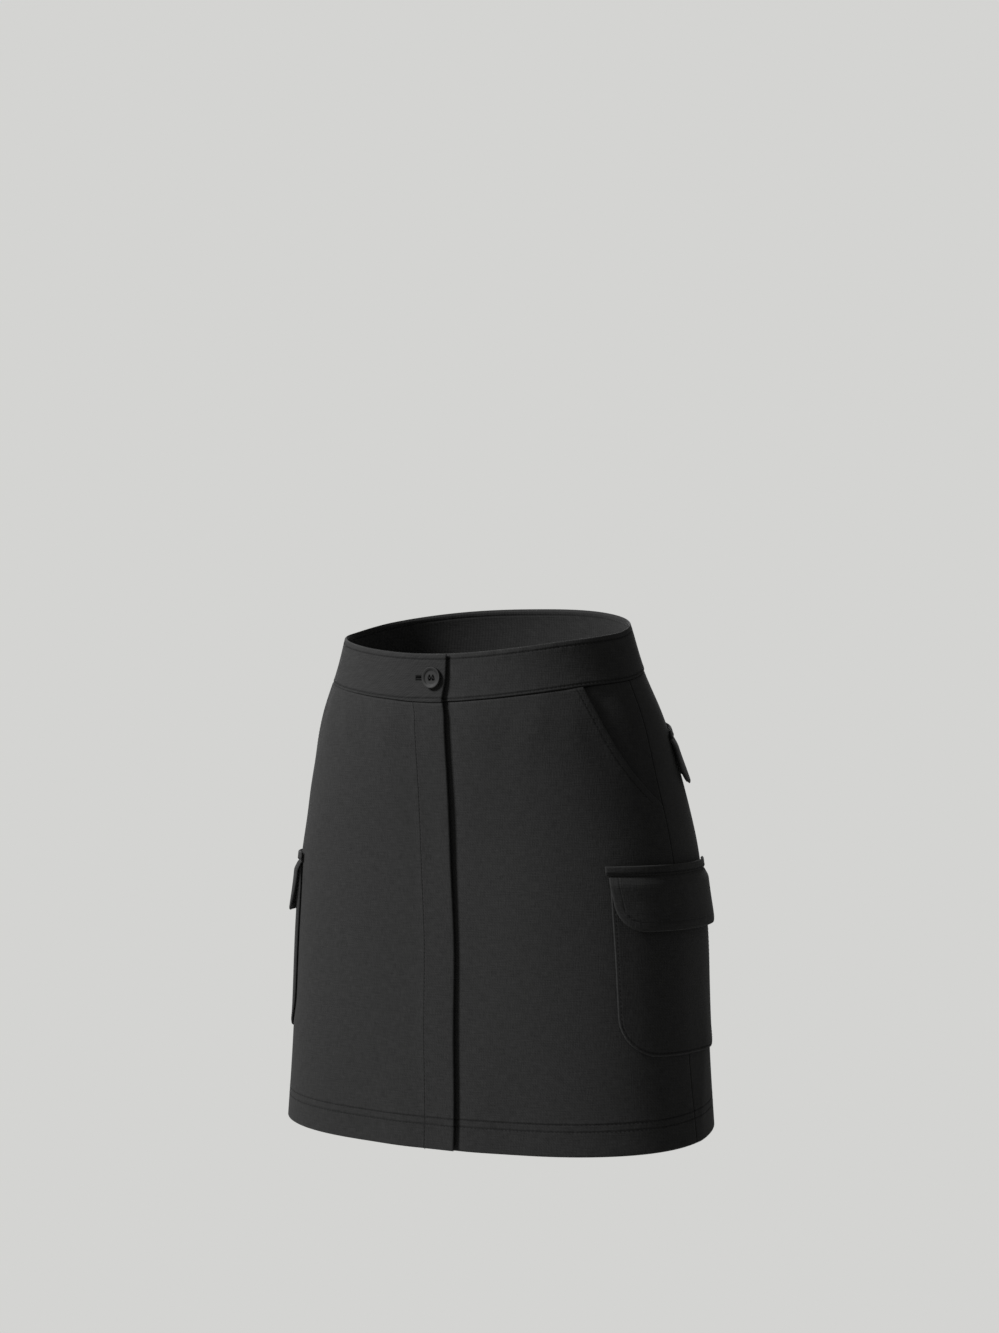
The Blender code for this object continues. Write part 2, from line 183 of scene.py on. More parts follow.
DRAGS = (
    # Where the cloth pulls or goes slack: turn, height, half width, half length, lean, swell
    (64.0, -66.0, 4.5, 26.0, 0.02, 0.7),
    (72.0, -78.0, 5.0, 30.0, -0.05, -0.6),
    (78.0, -150.0, 7.0, 26.0, -0.22, -1.1),
    (70.0, -168.0, 6.0, 30.0, -0.22, 0.7),
    (52.0, -72.0, 4.0, 22.0, 0.14, 0.6),
    (40.0, -80.0, 5.0, 30.0, 0.05, -0.5),
    (24.0, -70.0, 5.0, 20.0, -0.10, 0.5),
    (112.0, -150.0, 9.0, 40.0, 0.10, -0.8),
    (135.0, -200.0, 10.0, 60.0, 0.03, 0.8),
    (160.0, -170.0, 9.0, 70.0, -0.03, -0.7),
)
SIDE_SEAM = np.array([(-412.0, 2.8), (-330.0, 1.6), (-180.0, 6.2), (-130.0, 8.6), (10.0, 8.0)])
TURN_UP = 24.5         # the hem's turned strip
HEM_ROWS = (18.7, 24.4)
FAR = 40.0             # a distance from an edge or a row that is too great to matter


def along(rows, z):
    """Values of a table at the given heights, along a smooth curve through its rows."""
    x, y = rows[:, 0], rows[:, 1:]
    z = np.clip(np.asarray(z, float), x[0], x[-1])
    slope = np.gradient(y, x, axis=0)
    i = np.clip(np.searchsorted(x, z) - 1, 0, len(x) - 2)
    h = (x[i + 1] - x[i])[..., None]
    u = ((z - x[i]) / h[..., 0])[..., None]
    return ((2 * u ** 3 - 3 * u ** 2 + 1) * y[i] + (u ** 3 - 2 * u ** 2 + u) * h * slope[i]
            + (3 * u ** 2 - 2 * u ** 3) * y[i + 1] + (u ** 3 - u ** 2) * h * slope[i + 1])


def soft(value, start, end):
    """0 before start, 1 after end and a soft step between."""
    u = np.clip((np.asarray(value, float) - start) / (end - start), 0.0, 1.0)
    return u * u * (3 - 2 * u)


def even(value):
    """Edge or distance that is the same for every point."""
    return lambda p: np.full(len(p.z), float(value))


def radius(turn, z, folded=True):
    """Distance of the form's outer face from the axis."""
    half, front, rear, power = np.moveaxis(along(FORM, z), -1, 0)
    depth = np.where(np.cos(turn) > 0, front, rear)
    r = (np.abs(np.sin(turn) / half) ** power + np.abs(np.cos(turn) / depth) ** power) ** (-1 / power)
    if folded:
        around = np.abs(np.degrees(np.arctan2(np.sin(turn), np.cos(turn))))
        for centre, width, start, swell, power in FOLDS:
            if power < 2:
                centre = centre - 7.0 * soft(-z, 300, 395)
            r = r + swell * soft(start - z, 0, start + 393.0) * np.exp(-np.abs((around - centre) / width) ** power)
        for centre, height, width, length, lean, swell in DRAGS:
            across = (around - centre - lean * (z - height)) / width
            r = r + swell * np.exp(-across ** 2 - ((z - height) / length) ** 2)
        # Slack in the cloth: long shallow waves, none of them at the waist, where it is taut.
        slack = (0.30 * np.sin(around / 11.3 + z / 71.0) + 0.24 * np.sin(around / 6.1 - z / 44.0 + 1.3)
                 + 0.22 * np.sin(z / 27.0 + 1.9 * np.sin(around / 23.0)))
        r = r + slack * soft(-z, 30, 120) * (0.7 + 0.6 * soft(-z, 250, 400))
    return r


def on_form(turn, z, out=0.0):
    """Points of the worn form, moved out along its normal."""
    def spot(turn, z):
        r = radius(turn, z)
        return np.stack([r * np.sin(turn), -r * np.cos(turn), z], -1)
    normal = np.cross(spot(turn + 2e-3, z) - spot(turn - 2e-3, z), spot(turn, z + 0.5) - spot(turn, z - 0.5))
    normal /= np.linalg.norm(normal, axis=-1, keepdims=True)
    return spot(turn, z) + normal * np.broadcast_to(out, np.shape(turn))[..., None]


TURNS = np.linspace(0.0, math.pi, 721)
HEIGHTS = np.linspace(-420.0, 25.0, 90)
ring_r = radius(TURNS[None, :], HEIGHTS[:, None], folded=False)
steps = np.diff(np.stack([ring_r * np.sin(TURNS), ring_r * np.cos(TURNS)], -1), axis=1)
ARCS = np.pad(np.cumsum(np.linalg.norm(steps, axis=-1), axis=1), ((0, 0), (1, 0)))
TURN_OF = np.array([np.interp(np.linspace(0, row[-1], 721), row, TURNS) for row in ARCS])
side_arc = lambda z: np.interp(z, HEIGHTS, ARCS[:, 360])
half_arc = lambda z: np.interp(z, HEIGHTS, ARCS[:, -1])


def turn_at(arc, z):
    """Turn from the front of points at a distance round from the centre front."""
    half = half_arc(z)
    arc = (arc + half) % (2 * half) - half
    u = np.clip((z - HEIGHTS[0]) / (HEIGHTS[1] - HEIGHTS[0]), 0, len(HEIGHTS) - 1.001)
    v = np.clip(np.abs(arc) / half * 720, 0, 719.999)
    i, j = u.astype(int), v.astype(int)
    u, v = u - i, v - j
    return np.sign(arc) * ((TURN_OF[i, j] * (1 - v) + TURN_OF[i, j + 1] * v) * (1 - u)
                           + (TURN_OF[i + 1, j] * (1 - v) + TURN_OF[i + 1, j + 1] * v) * u)


def plane(height, rise):
    """Edge that lies on a sloping plane: its height for any point."""
    def level(p):
        z = np.full(np.shape(p.turn), float(height))
        for _ in range(4):
            z = height - rise * radius(p.turn, z, folded=False) * np.cos(p.turn)
        return z
    return level


TURNED = 17.0          # worn turned a little, so the right side sits this much further back
hip = lambda side, z: side_arc(z) + (TURNED if side < 0 else 0.0)
seam_line = lambda side, z: hip(side, z) - along(SIDE_SEAM, z)[..., 0]
back_line = lambda side, z: half_arc(z) - side * TURNED / 2
hem_edge = plane(-393.0, 0.125)

# The band's edges leave their planes a little: turn from the front, height above the plane.
TOP_WAVE = np.array([(0, -1.0), (16, -0.8), (29, -0.2), (39, 0.4), (47, 0.9), (55, 1.3), (62, 1.4), (70, 0.9),
                     (78, -0.1), (88, -1.7), (105, -1.0), (130, 0.0), (180, 0.0)])
SEAM_WAVE = np.array([(0, -1.9), (15, -1.6), (27, -0.6), (37, 0.2), (45, 1.0), (54, 1.8), (60, 2.3), (67, 2.5),
                      (78, 1.2), (86, -0.2), (100, -0.4), (130, 0.0), (180, 0.0)])
wave = lambda rows, turn: along(rows, np.abs(np.degrees(turn)))[..., 0]
top_plane, seam_plane = plane(0.0, 0.207), plane(-37.7, 0.185)
band_top = lambda p: top_plane(p) + wave(TOP_WAVE, p.turn) - 0.4 * p.lapped
band_seam = lambda p: seam_plane(p) + wave(SEAM_WAVE, p.turn) - 0.9 * p.lapped
under_band = lambda p: band_seam(p) + 2.5
tucked = lambda p: 1.0 * soft(p.z - band_seam(p), -0.8, 0.6)


def lines(near, steps, far):
    """Grid lines: at set distances from the start, equal steps, at set distances from the end."""
    rows = [(0.0, d) for d in near]
    rows += [(k / steps, near[-1] * (1 - k / steps) - far[0] * k / steps) for k in range(1, steps)]
    return np.array(rows + [(1.0, -d) for d in far])


ROLLED = (0.0, 0.3, 0.7, 1.3, 2.4)         # lines close to an edge, which rolls in


class Cut:
    """Pattern piece: its side, its four edges, how far out it is worn and where it is sewn."""

    def __init__(self, side, start, end, top, bottom, out, edge, rows, seam=None, lapped=None):
        self.side, self.start, self.end, self.top, self.bottom = side, start, end, top, bottom
        self.out, self.edge, self.rows = out, edge, rows
        self.seam = seam or even(FAR)
        self.lapped = lapped or even(0)

    def at(self, arc, z):
        """Everything that the piece's functions need to know about points."""
        p = type("Points", (), {})()
        p.arc, p.z, p.a, p.b = arc, z, self.start(z), self.end(z)
        p.turn = turn_at(arc, z)
        p.lapped = self.lapped(p)
        p.top = self.top(p)
        p.bottom = self.bottom(p)
        return p

    def worn(self, p, lift=0.0):
        """Points on the piece's outer face, in metres."""
        d = np.clip(self.edge(p) / 1.3, 0, 1)
        rolled = 0.85 * (1 - np.sqrt(1 - (1 - d) ** 2))
        xyz = on_form(p.turn, p.z, self.out(p) - rolled + lift)
        return xyz * np.array([self.side, 1, 1]) / 1000


def cloth(name, cut, columns, rows, thick, open_at=None):
    """Piece of cloth: a fine grid is moved to the worn form, then given its thickness inwards."""
    bpy.ops.mesh.primitive_grid_add(x_subdivisions=len(columns) - 1, y_subdivisions=len(rows) - 1, size=1)
    piece = bpy.context.object
    piece.name = piece.data.name = name + "_cloth"
    mesh = piece.data
    flat = np.empty(len(mesh.vertices) * 3)
    mesh.vertices.foreach_get("co", flat)
    flat = flat.reshape(-1, 3)
    column = columns[np.rint((flat[:, 0] + 0.5) * (len(columns) - 1)).astype(int)]
    row = rows[np.rint((0.5 - flat[:, 1]) * (len(rows) - 1)).astype(int)]
    z = np.full(len(flat), -200.0)
    for _ in range(7):
        arc = cut.start(z) * (1 - column[:, 0]) + cut.end(z) * column[:, 0] + column[:, 1]
        p = cut.at(arc, z)
        z = p.top * (1 - row[:, 0]) + p.bottom * row[:, 0] - row[:, 1]
    p = cut.at(arc, z)
    mesh.vertices.foreach_set("co", cut.worn(p).ravel())
    corner = np.empty(len(mesh.loops), int)
    mesh.loops.foreach_get("vertex_index", corner)
    mesh.uv_layers[0].name = "cut"
    mesh.uv_layers[0].data.foreach_set("uv", np.stack([cut.side * arc, z], -1)[corner].ravel() / 1000)
    for word, distance in (("row", cut.rows(p)), ("edge", cut.edge(p)), ("seam", cut.seam(p))):
        mesh.attributes.new(word, "FLOAT", "POINT").data.foreach_set("value", np.clip(distance, 0, FAR) / 1000)
    depth = np.broadcast_to(thick(p), len(z))
    group = piece.vertex_groups.new(name="thickness")
    for k, share in enumerate(depth / depth.max()):
        group.add([k], float(share), "REPLACE")
    if open_at:
        slit = open_at(p)
        bm = bmesh.new()
        bm.from_mesh(mesh)
        bmesh.ops.delete(bm, geom=[face for face in bm.faces if all(slit[corner.index] for corner in face.verts)],
                         context="FACES")
        bm.to_mesh(mesh)
        bm.free()
    if cut.side < 0:
        mesh.flip_normals()
    wall = piece.modifiers.new("wall", "SOLIDIFY")
    wall.thickness, wall.offset, wall.vertex_group = depth.max() / 1000, -1, "thickness"
    bpy.ops.object.modifier_apply(modifier=wall.name)
    bpy.ops.object.shade_smooth_by_angle(angle=math.radians(50))
    mesh.materials.append(twill)
    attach(piece, "root")
    bpy.ops.object.select_all(action="DESELECT")
    return piece


# One lockstitch as it shows on the face of the cloth, 2.5 mm long.
STITCH_RADIUS, STITCH_STRETCH, PITCH, SET_IN = 0.00033, 3.8, 3.3, 0.16
bpy.ops.mesh.primitive_uv_sphere_add(segments=6, ring_count=4, radius=STITCH_RADIUS)
bpy.ops.transform.rotate(value=math.pi / 2, orient_axis="Y", center_override=(0, 0, 0))
bpy.ops.transform.resize(value=(STITCH_STRETCH, 1.0, 1.0), center_override=(0, 0, 0))
bpy.ops.object.transform_apply(location=True, rotation=True, scale=True)
stitch = bpy.context.object


def sew(name, places):
    """Copies of the stitch at the given places, joined into one piece."""
    bm = bmesh.new()
    for place in places:
        one = stitch.data.copy()
        one.transform(place)
        bm.from_mesh(one)
        bpy.data.meshes.remove(one)
    mesh = bpy.data.meshes.new(name)
    bm.to_mesh(mesh)
    bm.free()
    mesh.materials.append(thread)
    made = bpy.data.objects.new(name, mesh)
    bpy.context.collection.objects.link(made)
    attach(made, "root")
    return made


def topstitch(name, cut, runs):
    """Rows of stitches on a piece. Each run gives arcs and heights."""
    places = []
    for arc, z in runs:
        path = cut.worn(cut.at(arc, z), -SET_IN)
        reach = np.concatenate([[0], np.cumsum(np.linalg.norm(np.diff(path, axis=0), axis=1))])
        middles = np.arange(PITCH / 2000, reach[-1], PITCH / 1000)
        spots, ahead, behind = [np.stack([np.interp(middles + shift, reach, path[:, k]) for k in range(3)], -1)
                                for shift in (0.0, 4e-4, -4e-4)]
        places += [Matrix.Translation(spot) @ Vector(direction).to_track_quat("X", "Z").to_matrix().to_4x4()
                   for spot, direction in zip(spots, ahead - behind)]
    return sew(name, places)


def level_run(cut, start, end, height, count=220):
    """Run that keeps a height worked out from the piece's edges."""
    share = np.linspace(0, 1, count)
    z = np.full(count, -200.0)
    for _ in range(7):
        arc = (cut.start(z) + start) * (1 - share) + (cut.end(z) - end) * share
        z = height(cut.at(arc, z))
    return arc, z


def hem_rows(cut, start, end):
    """The hem's two rows."""
    return [level_run(cut, start, end, lambda p, h=h: p.bottom + h) for h in HEM_ROWS]


def hem_distance(p):
    """Distance to the nearer row of the hem."""
    return np.minimum(*[np.abs(p.z - p.bottom - h) for h in HEM_ROWS])


hem_wall = lambda p: 1.5 + 1.5 * (1 - soft(p.z - p.bottom, TURN_UP, TURN_UP + 1.5))
BODY_ROWS = lines((0.0, 1.6, 2.4, 3.2, 5.0), 76, (29.0, 26.0, 24.5, 22.0, 19.0, 15.0, 11.0, 7.0) + ROLLED[::-1])
for word, side in (("right", -1), ("left", 1)):
    back = Cut(side, lambda z: seam_line(side, z), lambda z: back_line(side, z) + 0.05, under_band, hem_edge,
               lambda p: -tucked(p),
               lambda p: np.minimum(np.minimum(p.arc - p.a, p.b - p.arc), p.z - p.bottom), hem_distance,
               lambda p: np.minimum(np.minimum(p.arc - p.a, p.b - p.arc), np.abs(p.z - band_seam(p))))
    piece = cloth("back_" + word, back, lines(ROLLED, 62, ROLLED[::-1]), BODY_ROWS, hem_wall)
    rows = topstitch("back_" + word + "_hem_stitches", back, hem_rows(back, 0.5, 0.5))
    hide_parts("back_" + word)

# Left front: the under side of the wrap. It hangs from the band, runs on 28 mm under the
# right front and is stitched along the slanted opening of its hand pocket.
UNDERLAP_EDGE = -13.0
LAP_EDGE = (15.0, 17.5)
POCKET_END = -134.0
POCKET_EDGE = np.array([(-134.0, 8.6), (-124.0, 19.6), (-113.0, 28.0), (-94.0, 38.6), (-76.0, 45.4), (-60.0, 49.6),
                        (-44.0, 52.4), (-30.0, 53.8)])
OPENING_ROW = 5.2
FAINT = 0.35           # a row pulled less tight than the rest draws a fainter groove


def pocket_line(side, z):
    """Distance round to the slanted opening, and below it to the side seam."""
    return np.where(z > POCKET_END, hip(side, z) - along(POCKET_EDGE, z)[..., 0], seam_line(side, z))


def opening(side):
    """Points along the slanted opening: distance round and height."""
    z = np.linspace(-30, POCKET_END, 60)
    return np.stack([pocket_line(side, z), z], -1)


def from_opening(side, p):
    """True distance from the slanted opening's edge, on the flat cloth."""
    edge = opening(side)
    return np.hypot(p.arc[:, None] - edge[None, :, 0], p.z[:, None] - edge[None, :, 1]).min(axis=1)


def opening_run(side):
    """Row of stitches beside the slanted opening."""
    edge = opening(side)
    normal = np.stack([np.gradient(edge[:, 1]), -np.gradient(edge[:, 0])], -1)
    normal /= np.linalg.norm(normal, axis=1, keepdims=True)
    path = edge + normal * OPENING_ROW
    path = path[(path[:, 1] < -40.5) & (path[:, 1] > POCKET_END + 1)]
    return path[:, 0], path[:, 1]


# The opening's edge stands a little off the bag, where a hand goes in.
gape = lambda side, p: 0.9 * (1 - soft(from_opening(side, p), 0, 16)) * soft(p.z, POCKET_END + 2, POCKET_END + 30)
front_edge = lambda p: np.minimum(np.minimum(p.arc - p.a, p.b - p.arc), p.z - p.bottom)
front_seam = lambda p: np.minimum(np.where(p.z < POCKET_END + 1, p.b - p.arc, FAR), np.abs(p.z - band_seam(p)))
opening_wall = lambda side, p: 0.9 * (1 - soft(from_opening(side, p), 5.5, 7.0)) * (p.z > POCKET_END)

drop = lambda p: 2.4 * (1 - soft(p.arc, LAP_EDGE[1] - 4.0, 105.0)) + 0.5 * (1 - soft(p.arc, LAP_EDGE[1], 27.0))
left = Cut(1, lambda z: np.full(np.shape(z), UNDERLAP_EDGE), lambda z: pocket_line(1, z), under_band, hem_edge,
           lambda p: gape(1, p) - drop(p) - tucked(p), front_edge,
           lambda p: np.minimum(hem_distance(p), np.abs(from_opening(1, p) - OPENING_ROW) + FAINT), front_seam)
front_left = cloth("front_left", left, lines(ROLLED, 58, (7.6, 6.4, 5.2, 4.0) + ROLLED[::-1]), BODY_ROWS,
                   lambda p: np.maximum(hem_wall(p), 1.5 + opening_wall(1, p)))
rows = topstitch("front_left_stitches", left, hem_rows(left, 0.5, 0.5) + [opening_run(1)])
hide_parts("front_left")

# Right front: the upper side of the wrap. Its free edge is folded under, 28 mm deep, and the
# fold is held by one row from waist to hem. The edge lifts and wavers a little.
LAP_ROW = 27.4


def free_edge(z):
    """The fold's distance round from the centre front."""
    waver = 0.55 * np.sin(z / 21.0 + 0.6) * soft(-z, 60, 140) - 1.7 * (1 - soft(-z, 54, 66))
    return np.interp(-z, (60.0, 400.0), LAP_EDGE) + waver


lap_end = lambda distance: 1 - soft(distance, 0.0, 55.0)
right = Cut(-1, lambda z: -free_edge(z), lambda z: pocket_line(-1, z), under_band, hem_edge,
            lambda p: (gape(-1, p) - tucked(p) + 0.35 * (1 - soft(p.arc - p.a, 26, 34))
                       + 0.7 * (1 - soft(p.arc - p.a, 0, 24))
                       + 0.35 * np.sin(p.z / 33.0) * (1 - soft(p.arc - p.a, 0, 40)) * soft(-p.z, 60, 120)),
            front_edge,
            lambda p: np.minimum(hem_distance(p), FAINT + np.minimum(np.abs(p.arc - p.a - LAP_ROW),
                                                                     np.abs(from_opening(-1, p) - OPENING_ROW))),
            front_seam, lambda p: lap_end(p.arc - p.a))
front_right = cloth("front_right", right, lines(ROLLED + (6.0, 12.0, 18.0, 23.0, 26.4, 27.4, 28.4, 31.0), 54,
                                                (7.6, 6.4, 5.2, 4.0) + ROLLED[::-1]), BODY_ROWS,
                    lambda p: np.maximum(np.maximum(hem_wall(p), 1.5 + opening_wall(-1, p)),
                                         1.5 + 1.1 * (1 - soft(p.arc - p.a, 28, 29.5))))
down = np.linspace(0, 1, 220)
lap_z = -58.5 * (1 - down) - 403.0 * down
rows = topstitch("front_right_stitches", right,
                 hem_rows(right, 0.5, 0.5) + [opening_run(-1), (right.start(lap_z) + LAP_ROW, lap_z)])
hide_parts("front_right")

# Hand pockets: a side piece of the same twill shows in each slanted opening and runs on under
# the front as the bag. It is caught in the band and the side seam.
BAG_LOW, BAG_CORNER, BAG_WIDTH = -212.0, 30.0, 108.0
BAG_SUNK = 2.05        # under the front's wall


def bag_bottom(p):
    """Lower edge of the bag, with rounded corners."""
    near = np.clip(np.minimum(p.arc - p.a, p.b - p.arc), 0.0, BAG_CORNER)
    return BAG_LOW + BAG_CORNER - np.sqrt(np.maximum(BAG_CORNER ** 2 - (BAG_CORNER - near) ** 2, 0.0))


for word, side in (("right", -1), ("left", 1)):
    flush = lambda p: (1 - soft(p.b - p.arc, -1.0, 8.0)) * soft(p.z, POCKET_END - 8.0, POCKET_END)
    caught = lambda p: soft(p.arc - pocket_line(side, p.z), 1.0, 7.0) * soft(p.z - band_seam(p), -8.0, -0.5)
    sunk = lambda p: (BAG_SUNK * (1 - soft(p.arc - pocket_line(side, p.z), 5.0, 30.0) * (p.z > POCKET_END))
                      * (1 - flush(p)) * (1 - caught(p)))
    bag = Cut(side, lambda z: hip(side, z) - BAG_WIDTH, lambda z: seam_line(side, z), under_band, bag_bottom,
              lambda p: -sunk(p) - tucked(p), lambda p: p.b - p.arc, even(FAR),
              lambda p: np.minimum(p.b - p.arc, np.abs(p.z - band_seam(p))))
    piece = cloth("pocket_bag_" + word, bag, lines((0.0, 1.0, 3.0, 6.0, 10.0), 24, (8.0, 5.0) + ROLLED[::-1]),
                  lines((0.0, 1.6, 2.4, 3.2, 5.0), 40, (0.0,)), lambda p: 1.2)
    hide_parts("pocket_bag_" + word)

# Waistband: a slightly curved strip of twill, doubled over its interlining, with a row of
# stitches along each edge. Its under end goes below the end that laps over it at the front,
# which has a slit for the button.
BUTTON_X, BUTTON_Z = 4.0, -37.0
HOLE_ENDS = (-11.0, 6.0)
HALF_SLIT = 0.45       # half the slit's height
band_drop = lambda p: 2.4 * (1 - soft(p.arc, LAP_EDGE[0] - 2.0, 100.0)) + 0.5 * (1 - soft(p.arc, LAP_EDGE[0], 25.0))
band_end = lambda z: 2 * half_arc(z) + LAP_EDGE[0] + 0.5 - 2.4 * soft(-z, 36.0, 55.0)
band_top_row = lambda p: p.top - 4.4
band_low_row = lambda p: p.bottom + 2.1 + 1.5 * p.lapped
band = Cut(1, lambda z: np.full(np.shape(z), UNDERLAP_EDGE), band_end,
           band_top, band_seam,
           lambda p: 0.8 - band_drop(p) + 0.6 * (1 - soft(p.b - p.arc, 0, 24)) * soft(p.top - p.z, 0, 24),
           lambda p: np.minimum(np.minimum(p.arc - p.a, p.b - p.arc), np.minimum(p.top - p.z, p.z - p.bottom)),
           lambda p: np.minimum(np.abs(p.z - band_top_row(p)), np.abs(p.z - band_low_row(p))),
           lambda p: p.z - p.bottom, lambda p: lap_end(p.b - p.arc))
middle = band.at(np.array([2 * half_arc(BUTTON_Z) + np.mean(HOLE_ENDS)]), np.array([BUTTON_Z]))
share = float((middle.top - BUTTON_Z) / (middle.top - middle.bottom))
band_rows = lines(ROLLED + (3.6, 4.4, 5.2), 10, (4.4, 3.6, 2.9, 2.1) + ROLLED[:4][::-1])
heights = middle.top * (1 - band_rows[:, 0]) + middle.bottom * band_rows[:, 0] - band_rows[:, 1]
nearest = np.abs(heights - BUTTON_Z).argmin()
band_rows = np.insert(np.delete(band_rows, nearest, 0), [nearest, nearest],
                      [(share, -HALF_SLIT), (share, HALF_SLIT)], axis=0)
slit_ends = [LAP_EDGE[0] + 0.5 - end for end in HOLE_ENDS]
band_columns = lines(ROLLED, 184, (slit_ends[0], 22.0, 17.0, 13.0, slit_ends[1], 5.0) + ROLLED[::-1])
waistband = cloth("waistband", band, band_columns, band_rows, lambda p: 2.4,
                  open_at=lambda p: (np.abs(p.z - BUTTON_Z) < 2 * HALF_SLIT) & (p.b - p.arc > slit_ends[1] - 0.3)
                  & (p.b - p.arc < slit_ends[0] + 0.3))
rows = topstitch("waistband_stitches", band, [
    level_run(band, 0.5, 0.8, band_top_row, 700), level_run(band, 0.5, 0.8, band_low_row, 700)])
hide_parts("waistband")

# Buttonhole: the slit's edges are covered in close satin stitch, with a bar at each end.


def band_spot(x, z, lift):
    """Point on the upper end of the band, in metres."""
    x, z = np.array([float(x)]), np.array([float(z)])
    return band.worn(band.at(2 * half_arc(z) + x, z), lift)[0]


seat = Vector(band_spot(BUTTON_X, BUTTON_Z, 0.0))
outward = (Vector(band_spot(BUTTON_X, BUTTON_Z, 1.0)) - seat).normalized()
across = Vector((0, 0, 1)).cross(outward).normalized()
facing = Matrix((across, outward.cross(across), outward)).transposed().to_4x4()
upright, level = Matrix.Rotation(math.pi / 2, 4, "Y"), Matrix.Identity(4)
bars = [(x, BUTTON_Z + up * 1.25, upright, 0.66)
        for x in np.arange(HOLE_ENDS[0], HOLE_ENDS[1], 0.5) for up in (-1, 1)]
bars += [(end, BUTTON_Z + up, level, 0.45) for end in (HOLE_ENDS[0] - 0.6, HOLE_ENDS[1] + 0.6)
         for up in np.arange(-1.8, 1.9, 0.5)]
sew("buttonhole_stitches", [Matrix.Translation(band_spot(x, z, 0.2)) @ turn @ Matrix.Diagonal((size, 1.0, 1.0, 1.0))
                            for x, z, turn, size in bars])

# Button: turned from black polyester resin, 16.5 mm across, with a rounded rim, a sunk middle
# and four holes. Thread through the holes is wound into a shank that holds it off the band.
BUTTON_RADIUS, BUTTON_DEPTH = 0.00825, 0.0026
HOLE_RADIUS, HOLE_RING = 0.0008, 0.0023
resin, tree, shader = material("black_polyester_resin", {"IOR": 1.54, "Specular IOR Level": 0.3})
mottle = noise(tree, add(tree, "ShaderNodeTexCoord", {}, {}).outputs["Object"], 420.0, 3.0)
tree.links.new(blend(tree, mottle, hex_colour("#262626"), hex_colour("#343434")), shader.inputs["Base Color"])
tree.links.new(ramp(tree, mottle, 0.0, 1.0, 0.52, 0.68), shader.inputs["Roughness"])
tree.links.new(add(tree, "ShaderNodeBump", {}, {
    "Strength": 0.15, "Distance": 0.0001, "Height": mottle}).outputs[0], shader.inputs["Normal"])

bpy.ops.mesh.primitive_cylinder_add(vertices=72, radius=BUTTON_RADIUS, depth=BUTTON_DEPTH, location=(0, 0, 0.0017))
button = bpy.context.object
button.name = button.data.name = "button_disc"
bpy.ops.object.mode_set(mode="EDIT")
bpy.ops.mesh.select_all(action="DESELECT")
bm = bmesh.from_edit_mesh(button.data)
for face in bm.faces:
    face.select_set(face.normal.z > 0.9)
bmesh.update_edit_mesh(button.data)
bpy.ops.mesh.inset(thickness=0.0020)
bpy.ops.transform.translate(value=(0, 0, -0.0004))
bpy.ops.mesh.inset(thickness=0.0006)
bpy.ops.transform.translate(value=(0, 0, -0.0006))
bpy.ops.mesh.inset(thickness=0.0020)
bpy.ops.object.mode_set(mode="OBJECT")
bpy.ops.object.transform_apply(location=True, rotation=True, scale=True)
soften = button.modifiers.new("soften", "BEVEL")
soften.width, soften.segments, soften.limit_method, soften.angle_limit = 0.00055, 4, "ANGLE", math.radians(25)
bpy.ops.object.modifier_apply(modifier=soften.name)
for k in range(4):
    angle = math.pi / 4 + k * math.pi / 2
    bpy.ops.mesh.primitive_cylinder_add(vertices=24, radius=HOLE_RADIUS, depth=0.008, location=(
        HOLE_RING * math.cos(angle), HOLE_RING * math.sin(angle), 0))
    drill = bpy.context.object
    bpy.ops.object.select_all(action="DESELECT")
    bpy.context.view_layer.objects.active = button
    button.select_set(True)
    hole = button.modifiers.new("hole", "BOOLEAN")
    hole.object, hole.operation, hole.solver = drill, "DIFFERENCE", "EXACT"
    bpy.ops.object.modifier_apply(modifier=hole.name)
    bpy.data.objects.remove(drill)
bpy.ops.object.shade_smooth_by_angle(angle=math.radians(30))
button.data.materials.append(resin)

# Two loops of thread over the face and the wound shank behind it.
bpy.ops.mesh.primitive_cylinder_add(vertices=24, radius=0.0011, depth=0.0034, location=(0, 0, -0.0012))
sewing = bpy.context.object
sewing.name = sewing.data.name = "button_thread"
for x in (-0.00163, 0.00163):
    for shift in (-0.00028, 0.00028):
        bpy.ops.mesh.primitive_torus_add(major_segments=32, minor_segments=8, major_radius=0.00163,
                                         minor_radius=0.00030, location=(x + shift, 0, 0.0017),
                                         rotation=(math.pi / 2, 0, math.pi / 2))
        sewing.select_set(True)
        bpy.context.view_layer.objects.active = sewing
        bpy.ops.object.join()
bpy.ops.object.transform_apply(location=True, rotation=True, scale=True)
bpy.ops.object.shade_smooth_by_angle(angle=math.radians(60))
sewing.data.materials.clear()
sewing.data.materials.append(thread)

for made in (button, sewing):
    made.data.transform(Matrix.Translation(seat) @ facing)
    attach(made, "root")
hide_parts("button")
bpy.ops.object.select_all(action="DESELECT")

# Cargo pockets: a patch of twill over each side seam, its edges turned under and stitched
# close to the fold, its lower corners round.
LIFT = 0.45            # between one layer and the next
CARGO_TOP, CARGO_LOW, CARGO_CORNER, CARGO_ROW = -192.0, -325.0, 30.0, 2.4
CARGO_REACH = (62.4, 71.0)                 # in front of the hip line and behind it


def inside_outline(corner):
    """Distance from a piece's side and lower edges, with rounded lower corners."""
    def distance(p):
        x, y = np.minimum(p.arc - p.a, p.b - p.arc), p.z - p.low
        rounded = corner - np.hypot(np.maximum(corner - x, 0), np.maximum(corner - y, 0))
        return np.where((x < corner) & (y < corner), rounded, np.minimum(x, y))
    return distance


